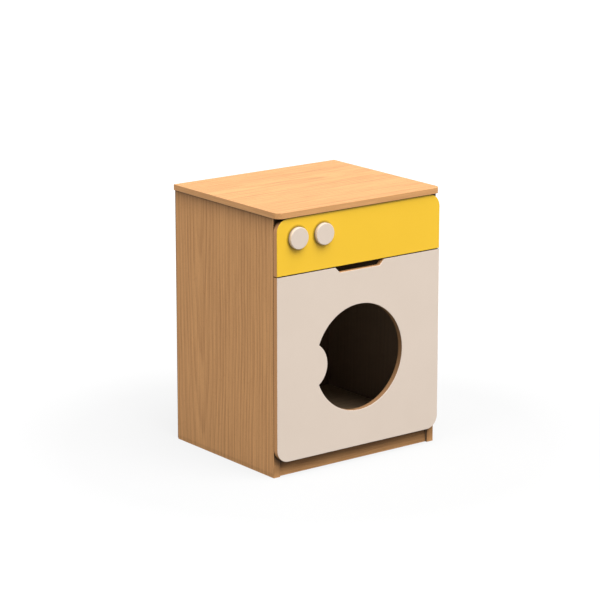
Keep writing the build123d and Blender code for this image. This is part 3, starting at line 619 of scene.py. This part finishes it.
def roundedOutline(corners, radii):
    points = []
    for i, (corner, radius) in enumerate(zip(corners, radii)):
        if not radius:
            points.append(tuple(corner))
            continue
        before = (Vector(corners[i - 1]) - Vector(corner)).normalized()
        after = (Vector(corners[(i + 1) % len(corners)]) - Vector(corner)).normalized()
        half = before.angle(after) / 2
        centre = Vector(corner) + (before + after).normalized() * radius / math.sin(half)
        first = Vector(corner) + before * radius / math.tan(half) - centre
        last = Vector(corner) + after * radius / math.tan(half) - centre
        start = math.atan2(first.y, first.x)
        sweep = (math.atan2(last.y, last.x) - start + math.pi) % (2 * math.pi) - math.pi
        points += arc(centre, radius, start, start + sweep)
    return points


# A board cut to outlines in the XZ plane, with its front or rear edge rounded. Its faces take the
# first material and its cut edges the second.
def cutBoard(name, outlines, frontY, backY, rounding, roundedFront, segments):
    work = bmesh.new()
    rims = []
    for outline in outlines:
        ring = [work.verts.new((x, frontY, z)) for x, z in outline]
        rims += [work.edges.new((ring[i - 1], ring[i])) for i in range(len(ring))]
    filled = bmesh.ops.triangle_fill(work, use_beauty=True, use_dissolve=False, edges=rims,
                                     normal=(0, -1, 0))
    faces = [g for g in filled["geom"] if isinstance(g, bmesh.types.BMFace)]
    # extruding a loose fill keeps its first faces, which close the front
    grown = bmesh.ops.extrude_face_region(work, geom=faces)
    moved = [g for g in grown["geom"] if isinstance(g, bmesh.types.BMVert)]
    bmesh.ops.translate(work, verts=moved, vec=(0, backY - frontY, 0))
    bmesh.ops.recalc_face_normals(work, faces=work.faces)
    edgeY = frontY if roundedFront else backY
    rim = [e for e in work.edges
           if all(abs(v.co.y - edgeY) < 1e-7 for v in e.verts)
           and any(abs(f.normal.y) < 0.5 for f in e.link_faces)]
    bmesh.ops.bevel(work, geom=rim, offset=rounding, offset_type="OFFSET", segments=segments,
                    profile=0.5, affect="EDGES", clamp_overlap=False)
    for face in work.faces:
        face.material_index = 0 if abs(face.normal.y) > 0.05 else 1
    mesh = toMesh(work, name)
    smoothByAngle(mesh)
    return mesh


# The fronts: a facing that is rounded in front, on a core that is rounded behind.
fronts = {"cornerRadius": 0.030, "facingRounding": 0.0008, "facingSegments": 5,
          "coreRounding": 0.0012, "coreSegments": 3}
door = {"portholeRadius": 0.1225, "portholeRise": 0.2061, "portholeZone": 0.15,
        "tabRadius": 0.056, "tabSetback": 0.024,
        "notchTop": 0.138, "notchFloor": 0.112, "notchDepth": 0.013, "notchCorner": 0.003}


def panelOutlines(low, high):
    corners = [(low.x, low.z), (high.x, low.z), (high.x, high.z), (low.x, high.z)]
    return [roundedOutline(corners, (0, 0, fronts["cornerRadius"], fronts["cornerRadius"]))]


def doorOutlines(low, high):
    middle = (low.x + high.x) / 2
    top, floor = door["notchTop"] / 2, door["notchFloor"] / 2
    notchZ = high.z - door["notchDepth"]
    corners = [(low.x, low.z), (high.x, low.z), (high.x, high.z), (middle + top, high.z),
               (middle + floor, notchZ), (middle - floor, notchZ), (middle - top, high.z),
               (low.x, high.z)]
    foot, notch = fronts["cornerRadius"], door["notchCorner"]
    outer = roundedOutline(corners, (foot, foot, 0, 0, notch, notch, 0, 0))
    centre = Vector((middle, low.z + door["portholeRise"]))
    radius, tab = door["portholeRadius"], door["tabRadius"]
    reach = radius + door["tabSetback"]
    tabCentre = centre - Vector((reach, 0))
    # the two circles meet at these angles, seen from each centre
    atPorthole = math.acos((radius ** 2 + reach ** 2 - tab ** 2) / (2 * radius * reach))
    atTab = math.acos((tab ** 2 + reach ** 2 - radius ** 2) / (2 * tab * reach))
    hole = arc(centre, radius, math.pi - atPorthole, atPorthole - math.pi)
    hole += arc(tabCentre, tab, -atTab, atTab)[1:-1]
    return [outer, hole]


def front(node, outlines, isFacing, finish):
    low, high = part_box(node)
    kind = "facing" if isFacing else "core"
    mesh = cutBoard(pieceName(node), outlines(low, high), low.y, high.y,
                    fronts[kind + "Rounding"], isFacing, fronts[kind + "Segments"])
    for each in (finish, "plyEdge"):
        mesh.materials.append(finishes[each])
    if outlines is doorOutlines:
        markCuts(mesh, Vector(((low.x + high.x) / 2, low.z + door["portholeRise"])))
    evenNormals(settle(mesh, node))


def markCuts(mesh, middle):
    # the door's cut edges round the porthole take a darker ply, painted shade inside the porthole;
    # those in the finger cut-out a lighter one, painted light in the notch
    for each in ("holeEdge", "litNotchEdge"):
        mesh.materials.append(finishes[each])
    for face in mesh.polygons:
        away = Vector((face.center.x, face.center.z)) - middle
        if face.material_index == 1 and away.length < door["portholeZone"]:
            face.material_index = 2
        elif face.material_index == 1 and abs(away.x) < door["notchTop"] / 2 and away.y > 0:
            face.material_index = 3


front("control_panel", panelOutlines, False, "veneer")
front("control_panel_facing", panelOutlines, True, "yellow")
front("door_panel", doorOutlines, False, "veneer")
front("door_facing", doorOutlines, True, "cream")
print("fronts: control panel and door")


def endTree(tree, given, made, geometry):
    # what was instanced becomes real and takes its finish
    real = addNode(tree, "GeometryNodeRealizeInstances", {0: geometry})
    coated = addNode(tree, "GeometryNodeSetMaterial", {
        "Geometry": real.outputs[0], "Material": given.outputs["Material"]})
    feed(tree, made, {"Geometry": coated.outputs[0]})
    return tree


def grownMesh(name, tree, values, start=None):
    # runs a geometry tree with these named inputs and returns what it makes as a plain mesh
    holder = addObject(name, start or bpy.data.meshes.new(name + "Start"))
    grow = holder.modifiers.new("grow", "NODES")
    grow.node_group = tree
    for item in tree.interface.items_tree:
        if item.item_type == "SOCKET" and item.in_out == "INPUT" and item.name in values:
            grow[item.identifier] = values[item.name]
    depsgraph = bpy.context.evaluated_depsgraph_get()
    mesh = bpy.data.meshes.new_from_object(holder.evaluated_get(depsgraph), depsgraph=depsgraph)
    mesh.name = name
    bpy.data.objects.remove(holder)
    return mesh


# The worktop's edge band: a rounded strip swept round the board, from one rear corner to the other.
worktopBand = {"Corner Radius": 0.018, "Thickness": 0.002, "Rounding": 0.001}


def edgeBandTree():
    tree, given, made = newGroup("edgeBand", "GeometryNodeTree", {
        "Width": 0.46,
        "Depth": 0.39,
        "Height": 0.0136,
        "Thickness": 0.002,
        "Rounding": 0.001,
        "Corner Radius": 0.018,
        "Material": "NodeSocketMaterial",
    }, {"Geometry": "NodeSocketGeometry"})
    thickness, depth = given.outputs["Thickness"], given.outputs["Depth"]
    half = times(tree, given.outputs["Width"], 0.5)
    left = times(tree, half, -1.0)
    path = addNode(tree, "GeometryNodeCurvePrimitiveQuadrilateral", mode="POINTS")
    for i, (x, y) in enumerate(((left, depth), (left, 0.0), (half, 0.0), (half, depth))):
        corner = addNode(tree, "ShaderNodeCombineXYZ", {0: x, 1: y})
        feed(tree, path, {f"Point {i + 1}": corner.outputs[0]})
    opened = addNode(tree, "GeometryNodeSetSplineCyclic", {0: path.outputs[0], 2: False})
    bent = addNode(tree, "GeometryNodeFilletCurve", {
        "Curve": opened.outputs[0], "Radius": given.outputs["Corner Radius"], "Count": 24},
        mode="POLY")
    upright = addNode(tree, "GeometryNodeSetCurveNormal", {0: bent.outputs[0]}, mode="Z_UP")
    strip = addNode(tree, "GeometryNodeCurvePrimitiveQuadrilateral", {
        "Width": thickness, "Height": given.outputs["Height"]}, mode="RECTANGLE")
    # the profile's X lies along the outward normal of the path, and its Y points down
    innerFace = times(tree, thickness, -0.5)
    inward = addNode(tree, "ShaderNodeCombineXYZ", {
        0: innerFace, 1: times(tree, given.outputs["Height"], -0.5)})
    strip = addNode(tree, "GeometryNodeTransform", {
        "Geometry": strip.outputs[0], "Translation": inward.outputs[0]})
    across = addNode(tree, "ShaderNodeSeparateXYZ", {
        0: addNode(tree, "GeometryNodeInputPosition").outputs[0]}).outputs[0]
    outerEdge = maths(tree, "GREATER_THAN", across, innerFace)
    strip = addNode(tree, "GeometryNodeFilletCurve", {
        "Curve": strip.outputs[0], "Radius": times(tree, outerEdge, given.outputs["Rounding"]),
        "Count": 5, "Limit Radius": True}, mode="POLY")
    swept = addNode(tree, "GeometryNodeCurveToMesh", {
        "Curve": upright.outputs[0], "Profile Curve": strip.outputs[0], "Fill Caps": True})
    return endTree(tree, given, made, swept.outputs[0])


def makeWorktopBand(node):
    low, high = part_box(node)
    mesh = grownMesh(pieceName(node), edgeBandTree(), {
        "Width": high.x - low.x, "Depth": high.y - low.y, "Height": high.z - low.z,
        "Material": finishes["topBand"], **worktopBand})
    mesh.transform(Matrix.Translation(((low.x + high.x) / 2, low.y, low.z)))
    mesh.materials.append(finishes["topBandSide"])
    for face in mesh.polygons:
        face.material_index = 1 if abs(face.normal.x) > abs(face.normal.y) else 0
    smoothByAngle(mesh)
    evenNormals(settle(mesh, node))


makeWorktopBand("worktop_edge_band")
print("worktop band")


def quarter(steps):
    return [math.pi / 2 * i / steps for i in range(steps + 1)]


def turned(profile, centre, steps):
    # a profile of (radius, y) points turned round the Y axis through centre
    work = bmesh.new()
    rings = []
    for radius, y in profile:
        angles = [2 * math.pi * i / steps for i in range(steps if radius else 1)]
        rings.append([work.verts.new((centre.x + radius * math.cos(a), y,
                                      centre.z + radius * math.sin(a))) for a in angles])
    for inner, outer in zip(rings, rings[1:]):
        for i in range(steps):
            corners = [inner[(i - 1) % len(inner)], inner[i % len(inner)], outer[i % len(outer)],
                       outer[(i - 1) % len(outer)]]
            unique = list(dict.fromkeys(corners))
            if len(unique) > 2:
                work.faces.new(unique)
    bmesh.ops.recalc_face_normals(work, faces=work.faces)
    return work


# Knobs: turned discs with a rounded front arris, hollow behind for the bush and the insert.
knob = {"noseRounding": 0.0016, "noseSteps": 8, "heelRounding": 0.0008, "heelSteps": 4,
        "faceRings": (0.35, 0.7, 0.92), "steps": 128, "flangeClear": 0.0003}


def makeKnob(node):
    low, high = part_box(node)
    bushLow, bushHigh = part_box(node + "_bush")
    insertLow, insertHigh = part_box(node + "_insert")
    radius, insert = (high.x - low.x) / 2, (insertHigh.x - insertLow.x) / 2
    recess = (bushHigh.x - bushLow.x) / 2 + knob["flangeClear"]
    nose, heel = knob["noseRounding"], knob["heelRounding"]
    profile = [(0, low.y)] + [((radius - nose) * share, low.y) for share in knob["faceRings"]]
    profile += [(radius - nose + nose * math.sin(a), low.y + nose - nose * math.cos(a))
                for a in quarter(knob["noseSteps"])]
    profile += [(radius - heel + heel * math.cos(a), high.y - heel + heel * math.sin(a))
                for a in quarter(knob["heelSteps"])]
    profile += [(recess, high.y), (recess, insertHigh.y), (insert, insertHigh.y),
                (insert, insertLow.y), (0, insertLow.y)]
    mesh = toMesh(turned(profile, (low + high) / 2, knob["steps"]), pieceName(node))
    mesh.materials.append(finishes["knobPaint"])
    smoothByAngle(mesh, 40)
    evenNormals(settle(mesh, node))


for node in ("knob_left", "knob_right"):
    makeKnob(node)
print("knobs")


# Screws: a turned blank, cut with a cross recess and set at each place of its CAD node.
smallPan = {"crown": 0.0016, "shank": 0.0015, "span": 0.0034}
pan = {"crown": 0.0020, "shank": 0.0017, "span": 0.0036}
countersunk = {"crown": 0.0, "shank": 0.0014, "span": 0.0029}
screws = {
    "back_panel_screws": smallPan, "bracket_screws": pan, "catch_screws": pan,
    "catch_strike_screw": countersunk, "hinge_cabinet_screws": countersunk,
    "hinge_door_screws": countersunk,
}
screwLook = {"steps": 40, "point": 0.0026, "rim": 0.00012, "crownRounding": 0.7,
             "crownSteps": 7, "Recess Width": 0.0008, "Recess Depth": 0.0013, "Seed": 7}


def screwTree():
    tree, given, made = newGroup("setScrews", "GeometryNodeTree", {
        "Sites": "NodeSocketGeometry",
        "Blank": "NodeSocketObject",
        "Recess Span": 0.003,
        "Recess Width": 0.0008,
        "Recess Depth": 0.0013,
        "Seed": 7,
        "Material": "NodeSocketMaterial",
    }, {"Geometry": "NodeSocketGeometry"})
    span, deep = given.outputs["Recess Span"], given.outputs["Recess Depth"]
    # a blade is a square frustum, squeezed to the recess's width
    corner = times(tree, span, math.sqrt(0.5))
    frustum = addNode(tree, "GeometryNodeMeshCone", {
        "Vertices": 4, "Radius Top": corner, "Radius Bottom": times(tree, corner, 0.3),
        "Depth": times(tree, deep, 2.0)}, fill_type="NGON")
    squared = addNode(tree, "GeometryNodeTransform", {
        "Geometry": frustum.outputs[0], "Rotation": (0, 0, math.pi / 4)})
    narrow = maths(tree, "DIVIDE", given.outputs["Recess Width"], span)
    blade = addNode(tree, "GeometryNodeTransform", {
        "Geometry": squared.outputs[0],
        "Translation": addNode(tree, "ShaderNodeCombineXYZ", {
            2: times(tree, deep, -1.0)}).outputs[0],
        "Scale": addNode(tree, "ShaderNodeCombineXYZ", {0: 1.0, 1: narrow, 2: 1.0}).outputs[0]})
    crossed = addNode(tree, "GeometryNodeTransform", {
        "Geometry": blade.outputs[0], "Rotation": (0, 0, math.pi / 2)})
    blank = addNode(tree, "GeometryNodeObjectInfo", {"Object": given.outputs["Blank"]})
    cut = addNode(tree, "GeometryNodeMeshBoolean", {
        "Mesh 1": blank.outputs["Geometry"], "Mesh 2": blade.outputs[0]}, operation="DIFFERENCE")
    feed(tree, cut, {"Mesh 2": crossed.outputs[0]})
    # every screw was driven home at its own angle
    spin = addNode(tree, "FunctionNodeRandomValue", {
        "Min": 0.0, "Max": math.pi / 2, "Seed": given.outputs["Seed"]}, data_type="FLOAT")
    spun = addNode(tree, "ShaderNodeCombineXYZ", {2: spin.outputs[1]}).outputs[0]
    facing = addNode(tree, "GeometryNodeInputNamedAttribute", {"Name": "facing"},
                     data_type="FLOAT_VECTOR").outputs["Attribute"]
    aimed = addNode(tree, "FunctionNodeAlignRotationToVector", {"Vector": facing}, axis="Z")
    pose = addNode(tree, "FunctionNodeRotateRotation", {
        "Rotation": aimed.outputs[0], "Rotate By": spun}, rotation_space="LOCAL")
    placed = addNode(tree, "GeometryNodeInstanceOnPoints", {
        "Points": given.outputs["Sites"], "Instance": cut.outputs["Mesh"],
        "Rotation": pose.outputs[0]})
    return endTree(tree, given, made, placed.outputs[0])


def looseParts(node):
    # the separate screws of a CAD node, each as a list of its points
    work = mergedCopy(node)
    waiting, parts = set(work.verts), []
    for start in work.verts:
        if start not in waiting:
            continue
        waiting.discard(start)
        part = [start]
        for vert in part:
            for edge in vert.link_edges:
                other = edge.other_vert(vert)
                if other in waiting:
                    waiting.discard(other)
                    part.append(other)
        parts.append([vert.co.copy() for vert in part])
    work.free()
    return parts


def screwPlace(points):
    # the middle of the head, the way it faces, and the screw's radius and length
    low = Vector([min(p[i] for p in points) for i in range(3)])
    high = Vector([max(p[i] for p in points) for i in range(3)])
    size, middle = high - low, (low + high) / 2
    axis = max(range(3), key=lambda i: size[i])
    other = (axis + 1) % 3

    def spread(end):
        return max(abs(p[other] - middle[other]) for p in points if abs(p[axis] - end) < 1e-5)

    facing = Vector((0, 0, 0))
    facing[axis] = 1 if spread(high[axis]) > spread(low[axis]) else -1
    return middle + facing * size[axis] / 2, facing, size[other] / 2, size[axis]


def screwBlank(radius, length, crown, shank):
    # a pan head where there is a crown, else a countersunk one
    rim, bend = screwLook["rim"], crown * screwLook["crownRounding"]
    if crown:
        head = [(0, 0)] + [(radius - bend + bend * math.sin(a), bend * math.cos(a) - bend)
                           for a in quarter(screwLook["crownSteps"])]
        head += [(radius, -crown), (shank, -crown)]
    else:
        head = [(0, 0), (radius - rim, 0), (radius, -rim), (shank, shank - radius - rim)]
    tip = [(shank, screwLook["point"] - length), (0, -length)]
    mesh = toMesh(turned(head + tip, Vector((0, 0, 0)), screwLook["steps"]), "screwBlank")
    mesh.transform(Matrix.Rotation(math.pi / 2, 4, "X"))
    return addObject("screwBlank", mesh)


def makeScrews(node, look):
    places = [screwPlace(points) for points in looseParts(node)]
    heads, facings, radii, lengths = zip(*places)
    blank = screwBlank(radii[0], lengths[0], look["crown"], look["shank"])
    sites = bpy.data.meshes.new(pieceName(node) + "Sites")
    sites.from_pydata(heads, [], [])
    directions = sites.attributes.new("facing", "FLOAT_VECTOR", "POINT")
    for i, facing in enumerate(facings):
        directions.data[i].vector = facing
    mesh = grownMesh(pieceName(node), screwNodes, {
        **screwLook, "Blank": blank, "Recess Span": look["span"],
        "Material": finishes["steel"]}, sites)
    bpy.data.objects.remove(blank)
    smoothByAngle(mesh)
    settle(mesh, node)
    print("screws:", node, len(places), "of", len(mesh.polygons) // len(places), "faces")


screwNodes = screwTree()
for node, look in screws.items():
    makeScrews(node, look)


# Fittings that keep their CAD shape, with the arrises of pressed and moulded ones broken.
hingeParts = {"cabinet_leaf": 0.00015, "door_leaf": 0.00015, "pin": 0.0}
fittings = {
    "steel": {**{f"{side}_hinge_{part}": edge for side in ("left", "right")
                 for part, edge in hingeParts.items()},
              "angle_brackets": 0.0002, "cam_bolts": 0.0, "catch_pole_plates": 0.00015,
              "catch_strike_plate": 0.00015,
              **{f"knob_{side}_{part}": 0.0 for side in ("left", "right")
                 for part in ("spindle", "washer", "lock_nut")}},
    "casting": {"cam_housings": 0.0},
    "brass": {"knob_left_insert": 0.0, "knob_right_insert": 0.0},
    "dowel": {"wooden_dowels": 0.0},
    "nylon": {"knob_left_bush": 0.0, "knob_right_bush": 0.0},
    "catchPlastic": {"catch_housing": 0.0003},
    "ferrite": {"catch_magnet": 0.0},
}
for finish, members in fittings.items():
    for node, edge in members.items():
        eased(node, finish, edge)
print("fittings:", sum(len(members) for members in fittings.values()))


def outwardAt(bearing, height):
    # the direction out from the part at this bearing from its front and this height, in degrees
    bearing, height = math.radians(bearing), math.radians(height)
    return Vector((math.sin(bearing) * math.cos(height), -math.cos(bearing) * math.cos(height),
                   math.sin(height)))


def lookBack(thing, outward):
    thing.rotation_mode = "QUATERNION"
    thing.rotation_quaternion = (-outward).to_track_quat("-Z", "Y")


# The photograph's own view: focal length and place fitted to the cabinet's edges.
view = {"bearing": -37.4171, "height": 14.4506, "focalPixels": 2639.26, "imagePixels": 600,
        "fromWorktopEdge": (-3.54617, -4.41354, 1.23252), "sensorWidth": 36.0,
        "clipStart": 0.1, "clipEnd": 60.0}


def makeCamera():
    data = bpy.data.cameras.new("camera")
    data.sensor_width = view["sensorWidth"]
    data.lens = data.sensor_width * view["focalPixels"] / view["imagePixels"]
    data.clip_start, data.clip_end = view["clipStart"], view["clipEnd"]
    camera = addObject("camera", data)
    low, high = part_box("worktop_edge_band")
    edge = Vector(((low.x + high.x) / 2, low.y, high.z))
    camera.location = edge + Vector(view["fromWorktopEdge"])
    lookBack(camera, outwardAt(view["bearing"], view["height"]))
    bpy.context.scene.camera = camera


# The floor and sky: how bright they are to the part, and how bright they are shown.
stage = {"floorSize": 60.0, "skyStrength": 0.30, "bounce": (0.26, 0.26, 0.26, 1),
         "faint": (0.11, 0.11, 0.11, 1), "shownNear": 0.800, "shownFar": 1.0,
         "nearRadius": 0.55, "farRadius": 1.5}


def whiteSeen(tree):
    # 1 for the rays that show the background: camera, glossy and transmission
    path = addNode(tree, "ShaderNodeLightPath")
    return maths(tree, "MAXIMUM", path.outputs["Is Camera Ray"], path.outputs["Is Glossy Ray"],
                 path.outputs["Is Transmission Ray"])


def makeFloor():
    material = bpy.data.materials.new("floor")
    material.use_nodes = True
    tree = material.node_tree
    tree.nodes.clear()
    bounce = addNode(tree, "ShaderNodeBsdfDiffuse", {"Color": stage["bounce"]})
    faint = addNode(tree, "ShaderNodeBsdfDiffuse", {"Color": stage["faint"]})
    place = addNode(tree, "ShaderNodeTexCoord").outputs["Object"]
    distance = addNode(tree, "ShaderNodeVectorMath", {0: place}, operation="LENGTH")
    shown = remap(tree, distance.outputs["Value"], stage["nearRadius"], stage["farRadius"],
                  stage["shownNear"], stage["shownFar"])
    glow = addNode(tree, "ShaderNodeEmission", {"Color": (1, 1, 1, 1), "Strength": shown})
    lit = addNode(tree, "ShaderNodeAddShader", {0: faint.outputs[0], 1: glow.outputs[0]})
    mixed = addNode(tree, "ShaderNodeMixShader", {
        0: whiteSeen(tree), 1: bounce.outputs[0], 2: lit.outputs[0]})
    addNode(tree, "ShaderNodeOutputMaterial", {0: mixed.outputs[0]})
    half = stage["floorSize"] / 2
    mesh = bpy.data.meshes.new("floor")
    mesh.from_pydata([(-half, -half, 0), (half, -half, 0), (half, half, 0), (-half, half, 0)], [],
                     [(0, 1, 2, 3)])
    mesh.materials.append(material)
    floor = addObject("floor", mesh)


def makeSky():
    world = bpy.data.worlds.new("sky")
    world.use_nodes = True
    bpy.context.scene.world = world
    tree = world.node_tree
    background = tree.nodes["Background"]
    background.inputs["Color"].default_value = (1, 1, 1, 1)
    feed(tree, background, {
        "Strength": remap(tree, whiteSeen(tree), 0.0, 1.0, stage["skyStrength"], 1.0)})


# Soft lamps on a wide ring, all aimed at the part: bearing from the front, height and power.
lamps = {"distance": 18.0, "target": (0.0, 0.0, 0.3), "each": {
    "key": {"bearing": 10, "height": 61, "size": 18.0, "power": 5150.0},
    "left": {"bearing": -90, "height": 45, "size": 12.0, "power": 1190.0},
    "right": {"bearing": 90, "height": 20, "size": 6.0, "power": 410.0},
    "rear": {"bearing": 180, "height": 20, "size": 6.0, "power": 535.0},
}}


def makeLamps():
    for name, lamp in lamps["each"].items():
        data = bpy.data.lights.new(name, "AREA")
        data.shape = "DISK"
        data.size = lamp["size"]
        data.energy = lamp["power"]
        light = addObject(name, data)
        outward = outwardAt(lamp["bearing"], lamp["height"])
        light.location = Vector(lamps["target"]) + outward * lamps["distance"]
        lookBack(light, outward)


makeCamera()
makeFloor()
makeSky()
makeLamps()
bpy.context.scene.view_settings.view_transform = "Standard"
print("camera, floor and lamps")
